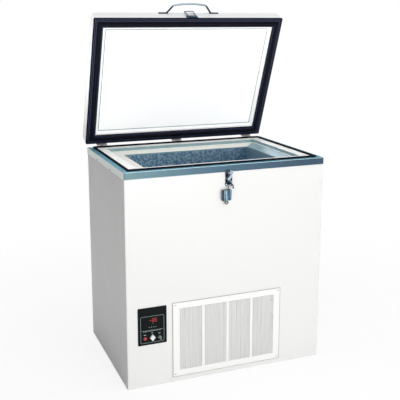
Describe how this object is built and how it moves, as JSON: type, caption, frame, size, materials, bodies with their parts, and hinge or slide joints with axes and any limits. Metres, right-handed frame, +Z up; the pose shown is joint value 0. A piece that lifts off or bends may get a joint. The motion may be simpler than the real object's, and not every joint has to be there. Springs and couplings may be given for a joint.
{
  "type": "chest ultra low temperature freezer",
  "caption": "Chest freezer for very low temperatures: white cabinet with a front grille and control panel, metal collar, sealed hinged lid with handle, latch, padlock and deep metal tank.",
  "frame": {"origin": "centre of the cabinet's footprint on the floor, at the underside of the base", "axes": "+X to the right seen from the front, +Y to the back where the hinges are, +Z up; the lid is at rest in its open position of the picture"},
  "size_m": [0.923, 0.747, 1.6135],
  "materials": {
    "cabinet_paint": "smooth enamel",
    "grille_paint": "smooth enamel",
    "collar_steel": "brushed, satin",
    "rim_plastic": "satin moulding",
    "liner_plastic": "satin moulding",
    "seal_rubber": "matte",
    "tank_metal": "embossed, dull",
    "foam": "rigid urethane foam",
    "foam_block": "foam-wrapped, matte",
    "copper": "bare tube",
    "screw_steel": "bright plated",
    "key_steel": "satin",
    "latch_chrome": "bright plated",
    "padlock_steel": "laminated plates, satin",
    "plate_black": "satin black",
    "black_plastic": "matte",
    "display": "smoked red window",
    "lamp_red": "clear red lens",
    "knob_silver": "satin",
    "galvanised": "galvanised sheet",
    "machine_black": "semi-gloss",
    "fin_aluminium": "bare"
  },
  "bodies": {
    "cabinet": {"base_pan": "galvanised", "deck_posts": "galvanised", "compartment_deck": "galvanised", "cabinet_wrapper": "cabinet_paint", "back_panel": "cabinet_paint", "back_panel_screws": "screw_steel", "power_inlet": "black_plastic", "top_collar": "collar_steel", "collar_screws": "screw_steel", "rim_breaker": "rim_plastic", "rim_bead": "seal_rubber", "inner_tank": "tank_metal", "tank_bottom": "tank_metal", "evaporator_coil": "copper", "foam_insulation": "foam", "grille_panel": "grille_paint", "grille_screws": "screw_steel", "control_plate": "plate_black", "display_module": "display", "alarm_lamp": "lamp_red", "key_switch": "screw_steel", "control_box": "galvanised", "latch_screws": "screw_steel", "latch_base": "latch_chrome", "latch_pin": "latch_chrome", "hinge_cabinet_leaves": "galvanised", "hinge_pins": "screw_steel", "hinge_cabinet_screws": "screw_steel", "condenser": "fin_aluminium", "fan_shroud": "galvanised", "fan_bracket": "galvanised", "fan_motor": "machine_black", "compressor_first": "machine_black", "compressor_second": "machine_black", "compressor_mounts": "seal_rubber", "expansion_tank": "machine_black", "heat_exchanger": "foam_block", "filter_drier": "copper", "discharge_line": "copper", "liquid_line": "copper", "feed_line": "copper", "return_line": "copper"},
    "lid": {"lid_shell": "cabinet_paint", "lid_liner": "liner_plastic", "lid_foam": "foam", "lid_gasket": "seal_rubber", "lid_handle": "latch_chrome", "handle_screws": "screw_steel", "strike_bracket": "latch_chrome", "strike_screws": "screw_steel", "hinge_lid_leaves": "galvanised", "hinge_lid_screws": "screw_steel"},
    "bail": {"strike_bail": "latch_chrome"},
    "lever": {"latch_lever": "latch_chrome"},
    "shackle": {"padlock_shackle": "latch_chrome"},
    "lock": {"padlock_body": "padlock_steel"},
    "lock_key": {"padlock_key": "key_steel"},
    "knob": {"selector_knob": "knob_silver"},
    "panel_key": {"switch_key": "key_steel"},
    "fan": {"fan_blades": "fin_aluminium"}
  },
  "joints": [
    {"name": "lid_hinge", "type": "hinge", "parent": "cabinet", "child": "lid", "pos_m": [0, 0.327, 0.938], "axis": [-1, 0, 0], "range_deg": [-67.7, 12]},
    {"name": "bail_pivot", "type": "hinge", "parent": "lid", "child": "bail", "pos_m": [0, 0.10382, 1.55333], "axis": [1, 0, 0], "range_deg": [0, 170.5]},
    {"name": "lever_pivot", "type": "hinge", "parent": "cabinet", "child": "lever", "pos_m": [0, -0.3265, 0.913], "axis": [-1, 0, 0], "range_deg": [0, 100]},
    {"name": "shackle_swing", "type": "hinge", "parent": "cabinet", "child": "shackle", "pos_m": [0.006, -0.33, 0.858], "axis": [-1, 0, 0], "range_deg": [-1.5, 70]},
    {"name": "lock_swivel", "type": "hinge", "parent": "shackle", "child": "lock", "pos_m": [-0.004, -0.33, 0.82], "axis": [0, 0, 1], "range_deg": [0, 180]},
    {"name": "lock_key_turn", "type": "hinge", "parent": "lock", "child": "lock_key", "pos_m": [-0.014, -0.33, 0.79], "axis": [0, 0, 1], "range_deg": [0, 90]},
    {"name": "knob_turn", "type": "hinge", "parent": "cabinet", "child": "knob", "pos_m": [-0.346, -0.32, 0.222], "axis": [0, 1, 0], "range_deg": [-135, 135]},
    {"name": "panel_key_turn", "type": "hinge", "parent": "cabinet", "child": "panel_key", "pos_m": [-0.3145, -0.32, 0.22], "axis": [0, 1, 0], "range_deg": [0, 90]},
    {"name": "fan_spin", "type": "hinge", "parent": "cabinet", "child": "fan", "pos_m": [0, -0.218, 0.175], "axis": [0, 1, 0], "continuous": true}
  ]
}
